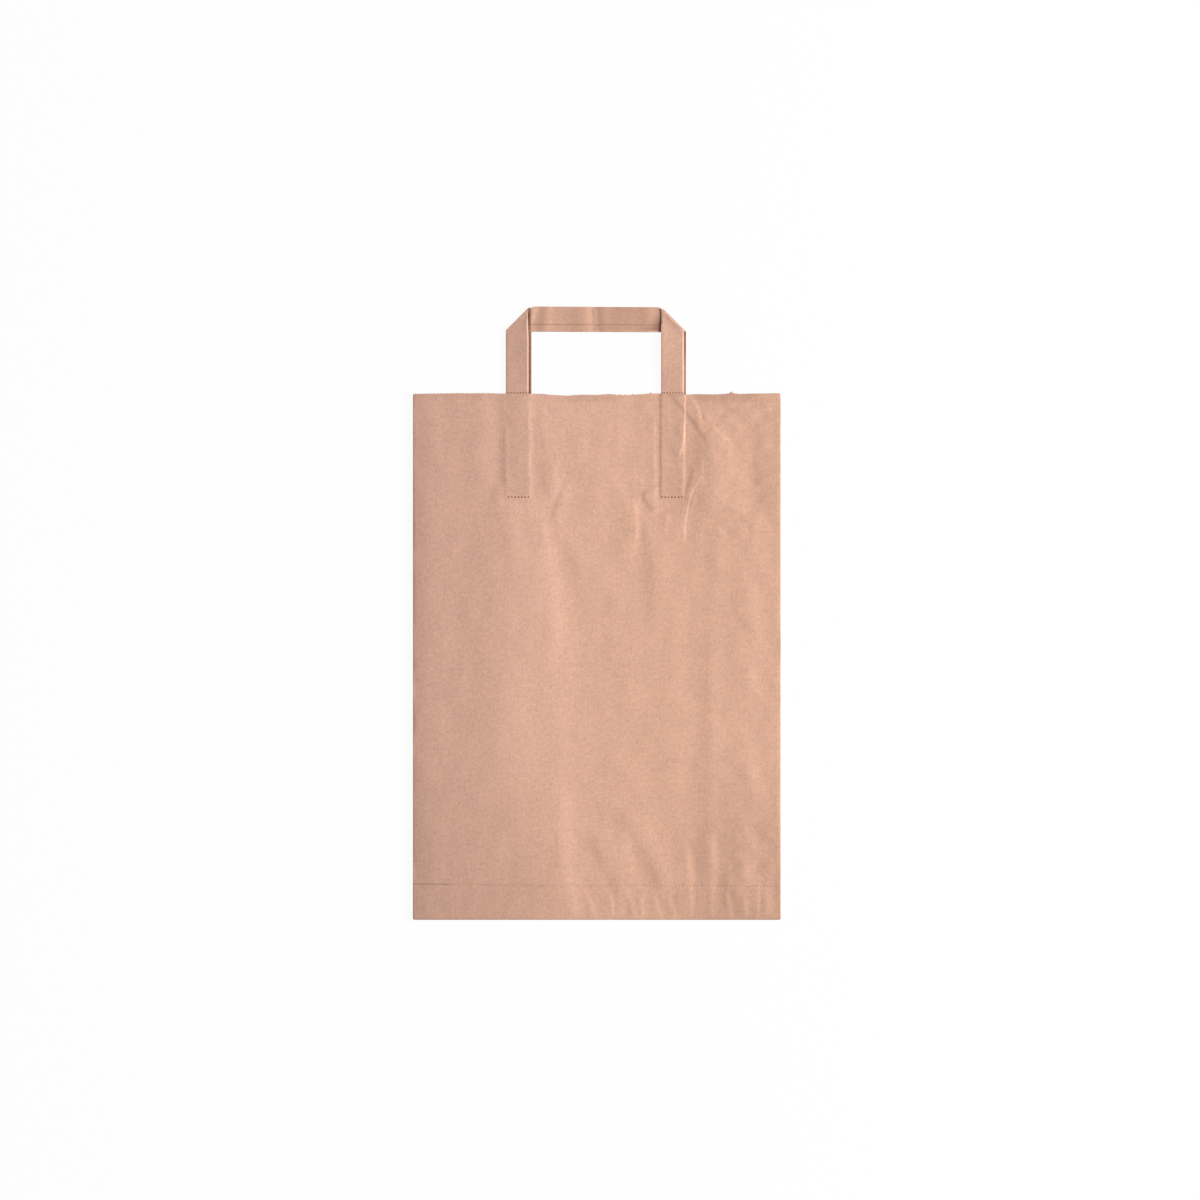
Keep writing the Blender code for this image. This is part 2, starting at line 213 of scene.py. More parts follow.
# Where the front ply's top and its foot need close columns: a start, a stop and the spacing
TOP_ZONES = ((0.030, 0.118, 0.00095), (0.0745, 0.087, 0.0006), (-0.050, -0.026, 0.0013))
LOW_ZONES = ((8 * MM, 74 * MM, 1.3 * MM), (110 * MM, 146 * MM, 1.2 * MM))

# Slow swells of the front ply, in millimetres: height, middle across, middle down from the
# mouth, half width across and half width along.
SWELLS = (
    (1.3, -84, 250, 34, 190),
    (0.5, -118, 380, 30, 80),
    (0.7, 6, 60, 30, 60),
    (0.8, 26, 290, 34, 90),
    (-0.4, -6, 215, 24, 60),
    (0.7, 68, 300, 18, 110),
    (0.45, 126, 180, 14, 60),
    (0.45, 124, 395, 14, 50),
    (0.4, 112, 60, 14, 30),
    (0.34, 135, 114, 5.5, 8),
    (0.3, 133.5, 137, 5.5, 7),
    (0.24, 131.5, 172, 5.5, 7),
    (0.5, 133.5, 201, 6.5, 10),
    (0.5, 133.5, 238, 6.5, 11),
    (0.34, 104, 145, 5, 9),
    (0.26, 102.5, 308, 5, 10),
    (0.4, 133.5, 333, 5.5, 13),
)


def linear(red, green, blue):
    """A display colour of 0 to 255 a channel as a linear colour."""
    shown = np.array((red, green, blue)) / 255
    made = np.where(shown <= 0.04045, shown / 12.92, ((shown + 0.055) / 1.055) ** 2.4)
    return tuple(float(channel) for channel in made)


def length(name, description, default, least=0.0):
    """A length that can be set."""
    return FloatProperty(
        name=name, description=description, default=default, min=least, unit="LENGTH"
    )


def pigment(name, description, default):
    """A colour that can be set."""
    return FloatVectorProperty(
        name=name, description=description, default=default, min=0.0, max=1.0, subtype="COLOR"
    )


class BagSettings(bpy.types.PropertyGroup):
    """Sizes and colours of the bag's sheet."""

    crease: FloatProperty(
        name="Crease height",
        description="How strongly the front ply's creases and swells stand out, 1 as photographed",
        default=1.0,
        min=0.0,
        soft_max=3.0,
    )
    sag: length(
        "Sag between the gussets", "How far the front ply sinks beside the handle legs", 0.0006
    )
    tooth_pitch: length(
        "Tooth pitch", "Distance between two teeth of the knife along a cut edge", 0.0028, 0.0005
    )
    tooth_depth: length("Tooth depth", "Depth of the knife's teeth along a cut edge", 0.0005)
    paper: pigment(
        "Kraft paper", "Colour of the sheet where the light is full", linear(217, 170, 144)
    )
    pink_paper: pigment(
        "Pinker kraft paper", "Colour of the paper's pinker and greyer areas", linear(212, 167, 147)
    )


class HandleSettings(bpy.types.PropertyGroup):
    """Sizes and colours of the two folded strips."""

    lift: length(
        "Leg lift", "How far a front leg's inner edge stands off the bar beside its fold", 0.0019
    )
    pinch: length(
        "Pinch", "Height of the ridge where the bar is pinched beside the left leg", 0.0013
    )
    edge_roll: length("Edge roll", "How far the strip's folded edges roll down", 0.00020)
    lap: length(
        "Lapping flap",
        "Width of the flap that laps over the other on the strip's inner face",
        0.0061,
        0.001,
    )
    paper: pigment("Handle paper", "Colour of the strips", linear(210, 166, 143))


class StudioSettings(bpy.types.PropertyGroup):
    """The lamp, the even light, the floor and the camera."""

    key_power: FloatProperty(
        name="Key lamp power",
        description="Power of the large soft lamp on the right, in watts",
        default=250.0,
        min=0.0,
    )
    fill: FloatProperty(
        name="Fill light",
        description="Strength of the even light from all round",
        default=0.33,
        min=0.0,
    )
    camera_height: length(
        "Camera height", "Height of the camera over the front ply", 4.349, 0.1
    )
    lens: FloatProperty(
        name="Lens",
        description="Focal length of the camera",
        default=150.0,
        min=10.0,
        unit="CAMERA",
    )
    floor: pigment("Floor", "Colour of the floor in the lamp's light", (0.90, 0.90, 0.90))


def smooth(value, low, high):
    """Rises smoothly from 0 at low to 1 at high: share squared times 3 less twice the share."""
    share = np.clip((value - low) / (high - low), 0.0, 1.0)
    return share * share * (3.0 - 2.0 * share)


def ripple(x, y, seed, length, waves=14):
    """Uneven waves of about one length: the sum of sines that run in seeded directions, with a
    mean square of 1."""
    chance = np.random.default_rng(seed)
    total = np.zeros(np.broadcast(x, y).shape)
    for _ in range(waves):
        angle = chance.uniform(0.0, math.pi)
        number = 2.0 * math.pi / (length * chance.uniform(0.7, 1.5))
        along = x * math.cos(angle) + y * math.sin(angle)
        total = total + np.sin(number * along + chance.uniform(0.0, 2.0 * math.pi))
    return total * math.sqrt(2.0 / waves)


def graded(start, stop, coarse, marks=(), zones=()):
    """Places from start to stop. The spacing is coarse, a zone's own spacing inside its zone, and
    closes to a mark's fine spacing within its reach. Density is summed along a ruler, and the
    places are where the sum passes equal steps."""
    ruler = np.linspace(start, stop, 6001)
    spacing = np.full_like(ruler, coarse)
    for low, high, step in zones:
        spacing = np.where((ruler > low) & (ruler < high), np.minimum(spacing, step), spacing)
    for mark, fine, reach in marks:
        near = np.clip(np.abs(ruler - mark) / reach, 0.0, 1.0)
        spacing = np.minimum(spacing, fine + (coarse - fine) * near)
    density = 0.5 * (1.0 / spacing[1:] + 1.0 / spacing[:-1]) * np.abs(np.diff(ruler))
    total = np.concatenate(([0.0], np.cumsum(density)))
    count = max(1, math.ceil(total[-1]))
    return np.interp(np.linspace(0.0, total[-1], count + 1), total, ruler)


def softened(path):
    """A path's corners rounded off: a cardinal spline through its points, eight steps a span."""
    points = np.array(path)
    before = np.vstack((2 * points[:1] - points[1:2], points[:-1]))[:-1]
    after = np.vstack((points[1:], 2 * points[-1:] - points[-2:-1]))[1:]
    first = points[:-1]
    last = points[1:]
    share = np.linspace(0.0, 1.0, 9)[:-1, None, None]
    lean_first = (last - before) / 2
    lean_last = (after - first) / 2
    curve = (
        (2 * share**3 - 3 * share**2 + 1) * first
        + (share**3 - 2 * share**2 + share) * lean_first
        + (3 * share**2 - 2 * share**3) * last
        + (share**3 - share**2) * lean_last
    )
    return np.vstack((curve.transpose(1, 0, 2).reshape(-1, 2), points[-1:]))


def crease(x, down, height, right, left, path):
    """One crease: its height times a bell over the distance to its path, which is right wide on
    the +X side and left wide on the other, and fades over its last fifth at both ends."""
    points = softened(path)
    start = points[:-1]
    step = points[1:] - start
    length = np.hypot(step[:, 0], step[:, 1])
    run = np.concatenate(([0.0], np.cumsum(length)))
    best = np.full(x.shape, 1e9)
    side = np.zeros(x.shape)
    place = np.zeros(x.shape)
    for k in range(len(start)):
        from_x = x - start[k, 0]
        from_y = down - start[k, 1]
        share = np.clip((from_x * step[k, 0] + from_y * step[k, 1]) / length[k] ** 2, 0.0, 1.0)
        gap = np.hypot(from_x - share * step[k, 0], from_y - share * step[k, 1])
        nearer = gap < best
        best = np.where(nearer, gap, best)
        side = np.where(nearer, from_x * step[k, 1] - from_y * step[k, 0], side)
        place = np.where(nearer, run[k] + share * length[k], place)
    fade = 0.20 * run[-1]
    ends = smooth(place, 0.0, fade) * smooth(run[-1] - place, 0.0, fade)
    return height * ends * np.exp(-((best / np.where(side > 0, right, left)) ** 2))


def leg_cover(x, y):
    """1 where the front ply lies over a leg of the front handle, and 0 clear of it. The left
    leg's edges start wide at the mouth and stray a little, and the right leg's right edge is
    crisp only near the mouth."""
    down = MOUTH_Y - y
    cover = np.zeros(np.broadcast(x, y).shape)
    wander = 0.30 * MM * np.sin(down / (7.5 * MM)) + 0.2 * MM * np.sin(down / (2.9 * MM) + 1.0)
    soft = smooth(down, 40 * MM, 62 * MM)
    loose = (1.0 - smooth(down, 8 * MM, 42 * MM), 0.0)
    for number, (left, right) in enumerate(FRONT_LEGS):
        right_width = (2.3 - 1.0 * number + 2.6 * number * soft) * MM + loose[number] * 4.0 * MM
        strayed = np.interp(down / MM, *EDGE_STRAY) * MM
        closing = wander - 2.0 * MM * smooth(down, 44 * MM, 55 * MM)
        right_edge = right + 0.1 * MM + (1 - number) * strayed + number * closing
        left_width = (3.0 - 0.4 * number) * MM + loose[number] * 2.5 * MM
        left_width = left_width + (1 - number) * 1.6 * MM * (1.0 - smooth(down, 45 * MM, 70 * MM))
        left_edge = left + (0.2 + 0.7 * number) * MM - (1 - number) * wander
        over = smooth(x, left_edge - left_width, left_edge)
        over = over * (1.0 - smooth(x, right_edge, right_edge + right_width))
        cover = np.maximum(cover, over)
    along = smooth(y, LEG_END_Y - 2.1 * MM, LEG_END_Y - 0.7 * MM)
    return cover * along


def front_height(x, y, bag):
    """Level of the front ply: flat over the gussets and the legs, sunk between them, with a
    rounded ridge over the right gusset's inner fold, and the creases, swells and crumples on it."""
    cover = leg_cover(x, y)
    between = smooth(x, -GUSSET_X - 4 * MM, -GUSSET_X + 64 * MM)
    between = between * (1.0 - smooth(x, GUSSET_X - 24 * MM, GUSSET_X + 2 * MM))
    above_lip = smooth(y, LIP_EDGE_Y, LIP_EDGE_Y + 40 * MM)
    slow = 1.0 - 0.25 * (0.5 + 0.5 * np.sin(x / (13.5 * MM)) * np.sin((y - MOUTH_Y) / (36 * MM)))
    sunk = bag.sag * between * (0.25 + 0.75 * above_lip) * slow * (1.0 - cover)

    across = x / MM
    down = (MOUTH_Y - y) / MM
    relief = np.zeros(x.shape)
    for height, middle, middle_down, half, half_down in SWELLS:
        bell = ((across - middle) / half) ** 2 + ((down - middle_down) / half_down) ** 2
        relief += height * np.exp(-bell)
    for height, right, left, path in CREASES:
        relief += crease(across, down, height, right, left, path)
    relief += 0.16 * np.exp(-(((across - GUSSET_X / MM) / 3.0) ** 2)) * smooth(down, 110.0, 160.0)

    crumpled = smooth(across, 98.0, 112.0)
    relief += 0.085 * crumpled * ripple(across, down, 5, 17.0)
    relief += 0.095 * crumpled * (1.0 - np.abs(ripple(across, down, 8, 26.0)))
    relief += 0.050 * ripple(across, down * 0.6, 11, 22.0)
    relief += 0.020 * ripple(across, down * 0.7, 14, 9.0)

    free = smooth(SIDE_X - np.abs(x), 0.0, 5 * MM)
    free = free * smooth(y, TUBE_BOTTOM_Y - 5 * MM, TUBE_BOTTOM_Y + 8 * MM)
    relief = relief * free * bag.crease
    room = np.where(np.abs(x) > GUSSET_X - 2 * MM, 0.95, 0.25 + 1.5 * (1.0 - cover))
    relief = np.where(relief < 0, -room * np.tanh(-relief / room), relief)
    return FRONT_PLY_Z - sunk + relief * MM


def tooth_line(x, pitch, seed):
    """The cut edge's teeth, 0 at a tip and about 1 in a notch: a triangular wave whose depth
    changes slowly from tooth to tooth."""
    uneven = 0.65 + 0.35 * ripple(x, np.zeros_like(x), seed, 5.0 * pitch, 8)
    return np.abs(2.0 * ((x / pitch) % 1.0) - 1.0) * np.clip(uneven, 0.1, 1.3)


def sheet_runs():
    """The folded sheet's section, from the outer lap edge round to the inner one. A ply is
    (name, x, z, x, z) and a half turn is ("turn", centre x, start z, stop z, side)."""
    level = [BACK_PLY_Z + k * PLY_PITCH for k in range(4)]
    half = SEAM_OVERLAP / 2
    lapped = level[0] + LAP_STEP
    return (
        ("back", half, level[0], -SIDE_X, level[0]),
        ("turn", -SIDE_X, level[0], level[1], -1),
        ("gusset", -SIDE_X, level[1], -GUSSET_TURN_X, level[1]),
        ("turn", -GUSSET_TURN_X, level[1], level[2], 1),
        ("gusset", -GUSSET_TURN_X, level[2], -SIDE_X, level[2]),
        ("turn", -SIDE_X, level[2], level[3], -1),
        ("front", -SIDE_X, level[3], SIDE_X, level[3]),
        ("turn", SIDE_X, level[3], level[2], 1),
        ("gusset", SIDE_X, level[2], GUSSET_TURN_X, level[2]),
        ("turn", GUSSET_TURN_X, level[2], level[1], -1),
        ("gusset", GUSSET_TURN_X, level[1], SIDE_X, level[1]),
        ("turn", SIDE_X, level[1], level[0], 1),
        ("back", SIDE_X, level[0], half + SEAM_RAMP, level[0]),
        ("back", half + SEAM_RAMP, level[0], half + SEAM_JOGGLE, lapped),
        ("back", half + SEAM_JOGGLE, lapped, -half, lapped),
    )


def run_length(run):
    """The flat length of one run of the section."""
    if run[0] == "turn":
        return math.pi * abs(run[3] - run[2]) / 2
    return math.hypot(run[3] - run[1], run[4] - run[2])


def run_points(run, share):
    """Points of one run at shares of its length: a straight line, or a half circle whose angle
    grows evenly."""
    if run[0] == "turn":
        centre, start, stop, side = run[1:]
        half = (stop - start) / 2
        angle = math.pi * (share - 0.5)
        return centre + side * abs(half) * np.cos(angle), (start + stop) / 2 + half * np.sin(angle)
    return run[1] + (run[3] - run[1]) * share, run[2] + (run[4] - run[2]) * share


def sheet_section(front_x, gusset_step, back_step):
    """The whole section as arrays: across, level, place on the flat sheet, and which ply each
    point belongs to, 0 the back, 1 a gusset or a turn, 2 the front."""
    kinds = {"back": 0, "turn": 1, "gusset": 1, "front": 2}
    parts = []
    done = 0.0
    runs = sheet_runs()
    for number, run in enumerate(runs):
        length = run_length(run)
        if run[0] == "front":
            share = (front_x - front_x[0]) / (front_x[-1] - front_x[0])
        elif run[0] == "turn":
            outer = abs(run[1]) == SIDE_X and max(run[2], run[3]) > FRONT_PLY_Z - LAP_STEP
            share = np.linspace(0.0, 1.0, 8 if outer else 4)
        else:
            step = gusset_step if run[0] == "gusset" else back_step
            share = np.linspace(0.0, 1.0, max(1, round(length / step)) + 1)
        if number + 1 < len(runs) and run[0] != "front":
            share = share[:-1]
        if number > 0 and runs[number - 1][0] == "front":
            share = share[1:]
        x, z = run_points(run, share)
        parts.append((x, z, done + share * length, np.full(len(share), kinds[run[0]]), share))
        done += length
    return [np.concatenate(column) for column in zip(*parts)]


def sheet_rows(section, y, bag):
    """The section carried along the bag: the front ply takes its relief, and the other plies
    sway a little between their folds."""
    across, level, flat, ply, share = section
    x = np.broadcast_to(across, (len(y), len(across)))
    y = np.broadcast_to(np.asarray(y)[:, None], x.shape)
    z = np.array(np.broadcast_to(level, x.shape))
    front = ply == 2
    z[:, front] = front_height(x[:, front], y[:, front], bag)
    loose = (ply == 1) * np.sin(math.pi * share) ** 2
    z += loose * 0.00016 * ripple(x, y, 21, 0.05, 8)
    dent = (ply == 0) * smooth(SIDE_X - np.abs(across), 0.0, 0.02)
    swell = 1.0 + np.sin(x / 0.021) * np.sin(y / 0.046)
    z += dent * 0.00010 * swell * smooth(np.abs(x), 0.014, 0.024)
    flat = np.broadcast_to(flat, x.shape)
    return x, y, z, flat, y


class PaperMesh:
    """Points and faces of one open sheet, gathered before they become a mesh."""

    def __init__(self):
        self.points = []
        self.places = []
        self.faces = []
        self.count = 0

    def rows(self, x, y, z, flat_x, flat_y):
        """Adds a grid of points with their places on the flat sheet, and gives their numbers."""
        made = np.stack([np.asarray(part, dtype=float) for part in (x, y, z)], axis=-1)
        flat = np.stack([np.asarray(part, dtype=float) for part in (flat_x, flat_y)], axis=-1)
        numbers = self.count + np.arange(made[..., 0].size).reshape(made.shape[:-1])
        self.points.append(made.reshape(-1, 3))
        self.places.append(flat.reshape(-1, 2))
        self.count += made[..., 0].size
        return numbers

    def weave(self, numbers):
        """Quads between each row of a grid and the next."""
        quads = (numbers[:-1, :-1], numbers[:-1, 1:], numbers[1:, 1:], numbers[1:, :-1])
        self.faces += np.stack(quads, axis=-1).reshape(-1, 4).tolist()

    def zip(self, lower, upper, lower_place, upper_place):
        """Triangles between two rows with different numbers of points. Every step of either row
        is taken in the order of its middle, and joins the point that the other row has reached."""
        low_key = (lower_place[1:] + lower_place[:-1]) / 2
        high_key = (upper_place[1:] + upper_place[:-1]) / 2
        order = np.argsort(np.concatenate((low_key, high_key)), kind="stable")
        from_low = order < len(low_key)
        low_done = np.cumsum(from_low) - from_low
        high_done = np.cumsum(~from_low) - ~from_low
        third = np.where(from_low, lower[np.minimum(low_done + 1, len(lower) - 1)],
                         upper[np.minimum(high_done + 1, len(upper) - 1)])
        self.faces += np.stack((lower[low_done], third, upper[high_done]), axis=-1).tolist()

    def finish(self, name, thickness, material):
        """The closed mesh object: half the paper's thickness to each side of the sheet."""
        mesh = bpy.data.meshes.new(name)
        mesh.from_pydata(np.vstack(self.points).tolist(), [], self.faces)
        layer = mesh.uv_layers.new(name=SHEET_UV)
        corner = np.empty(len(mesh.loops), dtype=np.int32)
        mesh.loops.foreach_get("vertex_index", corner)
        layer.uv.foreach_set("vector", np.vstack(self.places)[corner].astype(np.float32).ravel())
        mesh.materials.append(material)
        mesh.update()
        piece = bpy.data.objects.new(name, mesh)
        bpy.context.scene.collection.objects.link(piece)
        wall = piece.modifiers.new("paper_thickness", "SOLIDIFY")
        wall.thickness = thickness
        wall.offset = 0.0
        wall.use_even_offset = False
        wall.use_rim = True
        graph = bpy.context.evaluated_depsgraph_get()
        closed = bpy.data.meshes.new_from_object(piece.evaluated_get(graph))
        piece.modifiers.clear()
        piece.data = closed
        closed.name = name
        closed.shade_smooth()
        closed.set_sharp_from_angle(angle=math.radians(50))
        return piece


def mouth_line(section, bag):
    """How far each point of the mouth's cut edge stands above the mouth. The plies are cut
    together, the tuft is on the front ply only, and the other plies stay just below it."""
    across, _, flat, ply, _ = section
    places, heights = np.array(MOUTH_WANDER).T
    wander = np.interp(across / MM, places, heights) * MM
    frayed = smooth(across, 14 * MM, 20 * MM) * (1.0 - smooth(across, 46 * MM, 52 * MM))
    fibres = 0.10 * MM * ripple(flat, np.zeros_like(flat), 31, 1.6 * MM, 8)
    frays = np.maximum(ripple(flat, np.zeros_like(flat), 33, 3.6 * MM, 8), 0.0)
    fibres = fibres + 0.55 * MM * frayed * frays
    teeth = bag.tooth_depth * tooth_line(across, bag.tooth_pitch, 33)
    behind = np.minimum(wander, 0.0) - 0.35 * MM
    return np.where(ply == 2, wander + 0.45 * MM, behind) - teeth + fibres * (ply == 2)


def make_bag(bag, material):
    """The bag as one sheet: a tube with two gussets, a lengthwise lap and a lip at the bottom.

    The section of the folded sheet is carried along the bag in three bands of rows, the top one
    fine, and bands of different density are zipped together. The back ply's bottom row goes on
    round a half circle and up over the front ply as the lip.
    """
    legs = [edge for pair in FRONT_LEGS for edge in pair]
    leg_marks = [(edge, 0.45 * MM, 3.4 * MM) for edge in legs]
    top_x = graded(-SIDE_X, SIDE_X, 2.7 * MM, leg_marks, TOP_ZONES)
    middle_x = graded(-SIDE_X, SIDE_X, 3.8 * MM)
    low_x = graded(-SIDE_X, SIDE_X, 2.2 * MM, (), LOW_ZONES)
    fine_x = graded(-SIDE_X, SIDE_X, 0.7 * MM)
    low_stop = LIP_EDGE_Y + 52 * MM
    top_start = LEG_END_Y - 36 * MM
    leg_end = (LEG_END_Y - 1.4 * MM, 0.5 * MM, 4 * MM)
    top_y = graded(top_start, MOUTH_Y - 1.6 * MM, 1.3 * MM, (leg_end,))
    middle_y = graded(low_stop, top_start - 3 * MM, 4.0 * MM)
    low_y = graded(TUBE_BOTTOM_Y, low_stop - 3 * MM, 2.2 * MM)

    paper = PaperMesh()
    bands = []
    for columns, y in ((low_x, low_y), (middle_x, middle_y), (top_x, top_y)):
        section = sheet_section(columns, 20 * MM, 40 * MM)
        numbers = paper.rows(*sheet_rows(section, y, bag))
        paper.weave(numbers)
        bands.append((section, numbers))
    for (section, numbers), (next_section, next_numbers) in zip(bands, bands[1:]):
        paper.zip(numbers[-1], next_numbers[0], section[2], next_section[2])

    edge = sheet_section(fine_x, 0.7 * MM, 0.7 * MM)
    x, y, z, flat_x, flat_y = sheet_rows(edge, np.array([MOUTH_Y]), bag)
    y = y + mouth_line(edge, bag)
    cut = paper.rows(x, y, z, flat_x, y)
    section, numbers = bands[-1]
    paper.zip(numbers[-1], cut[0], section[2], edge[2])

    section, numbers = bands[0]
    flat = section[2]
    back = section[3] == 0
    whole = flat[-1]
    for first in (True, False):
        chosen = np.flatnonzero(back & ((flat < whole / 2) == first))
        if first:
            chosen = np.append(chosen, chosen[-1] + 1)
        add_lip(paper, bag, numbers[0][chosen], section, chosen)
    return paper.finish("bag_sheet", PAPER, material)


def add_lip(paper, bag, root, section, chosen):
    """The back ply carried round the bottom fold and up over the front ply.

    Round the fold a point runs on a half circle from its own level to the lip's. Past it, the
    point stays two layers over the front ply, so the lip takes the ply's wrinkles. The edge is
    toothed."""
    across, level, flat = (part[chosen] for part in section[:3])
    count = max(2, round(abs(flat[-1] - flat[0]) / (1.2 * MM)))
    place = np.interp(np.linspace(0.0, 1.0, count + 1), np.linspace(0.0, 1.0, len(flat)), flat)
    place = np.unique(np.concatenate((place, flat)))
    x = np.interp(place, flat, across)
    z = np.interp(place, flat, level)
    inward = z - BACK_PLY_Z
    top = front_height(x, np.full_like(x, TUBE_BOTTOM_Y), bag) + 2 * LAP_STEP - inward
    middle = (BACK_PLY_Z + LIP_Z) / 2
    angle = math.pi * (np.linspace(0.0, 1.0, 8)[1:] - 0.5)[:, None]
    reach = LIP_BULGE - inward
    rise = np.where(angle < 0, middle - z, top - middle)
    round_y = TUBE_BOTTOM_Y - reach * np.cos(angle)
    round_z = middle + rise * np.sin(angle)
    round_x = np.broadcast_to(x, round_y.shape)
    arc = math.pi * 1.3 * MM * (angle / math.pi + 0.5)
    flat_x = np.broadcast_to(place, round_y.shape)
    turned = paper.rows(round_x, round_y, round_z, flat_x, TUBE_BOTTOM_Y - arc + 0 * round_y)
    paper.weave(turned[:, ::-1])
    paper.zip(turned[0][::-1], root[::-1], -place[::-1], -flat[::-1])

    up = graded(TUBE_BOTTOM_Y, LIP_EDGE_Y - 2.2 * MM, 2.6 * MM)[1:]
    grid_x = np.broadcast_to(x, (len(up), len(x)))
    grid_y = np.broadcast_to(up[:, None], grid_x.shape)
    grid_z = front_height(grid_x, grid_y, bag) + 2 * LAP_STEP - inward
    flat_y = TUBE_BOTTOM_Y - FOLD_FLAT_LENGTH - (grid_y - TUBE_BOTTOM_Y)
    flat_x = np.broadcast_to(place, grid_x.shape)
    raised = paper.rows(grid_x, grid_y, grid_z, flat_x, flat_y)
    joined = np.vstack((turned[-1:], raised))
    paper.weave(joined[:, ::-1])

    steps = max(2, math.ceil(abs(place[-1] - place[0]) / (0.8 * MM)))
    cut_place = np.linspace(place[0], place[-1], steps + 1)
    cut_x = np.interp(cut_place, place, x)
    cut_in = np.interp(cut_place, place, inward)
    teeth = 1.1 * bag.tooth_depth * tooth_line(cut_x, LIP_TOOTH_PITCH, 37)
    cut_y = LIP_EDGE_Y - LIP_LEAN * cut_x - teeth
    cut_z = front_height(cut_x, cut_y, bag) + 2 * LAP_STEP - cut_in + 0.06 * MM
    cut_flat_y = TUBE_BOTTOM_Y - FOLD_FLAT_LENGTH - (cut_y - TUBE_BOTTOM_Y)
    cut = paper.rows(cut_x[None], cut_y[None], cut_z[None], cut_place[None], cut_flat_y[None])
    paper.zip(cut[0][::-1], raised[-1][::-1], -cut_place[::-1], -place[::-1])


def strip_section(handle):
    """The strip's folded section: place across, height, place on the flat strip, and how near
    each point of the lapping flap is to its cut edge.

    The outer face is the highest layer. Both flaps lie under it, and the lapping flap is the
    lowest. The layers join in half circles.
    """
    deep = PAPER / 2 + LAYER_PITCH
    shallow = PAPER / 2 + LAYER_PITCH / 2
    far = STRIP_WIDTH - shallow
    turn = math.pi * (np.linspace(0.0, 1.0, 7)[1:-1] - 0.5)
    edges = ((deep, 0.28 * MM, 3 * MM), (far, 0.28 * MM, 3 * MM))
    lap = graded(handle.lap, deep, 1.5 * MM, edges + ((handle.lap, 0.35 * MM, 1.5 * MM),))
    face = graded(deep, far, 1.5 * MM, edges)
    flap = graded(far, deep, 2.5 * MM, edges)
    across = np.concatenate((
        lap, deep - LAYER_PITCH * np.cos(turn), face, far + LAYER_PITCH / 2 * np.cos(turn), flap))
    height = np.concatenate((
        np.full(len(lap), -LAYER_PITCH), LAYER_PITCH * np.sin(turn), np.full(len(face), LAYER_PITCH),
        LAYER_PITCH / 2 - LAYER_PITCH / 2 * np.sin(turn), np.zeros(len(flap))))
    flat = np.concatenate(([0.0], np.cumsum(np.hypot(np.diff(across), np.diff(height)))))
    cut = np.exp(-((handle.lap - across) / (0.9 * MM)) ** 2) * (np.arange(len(across)) < len(lap))
    return across, height, flat, cut


def bell(value, middle, low_side, high_side):
    """A bell of height 1 at its middle, with its own width to each side."""
    width = np.where(value < middle, low_side, high_side)
    return np.exp(-(((value - middle) / width) ** 2))


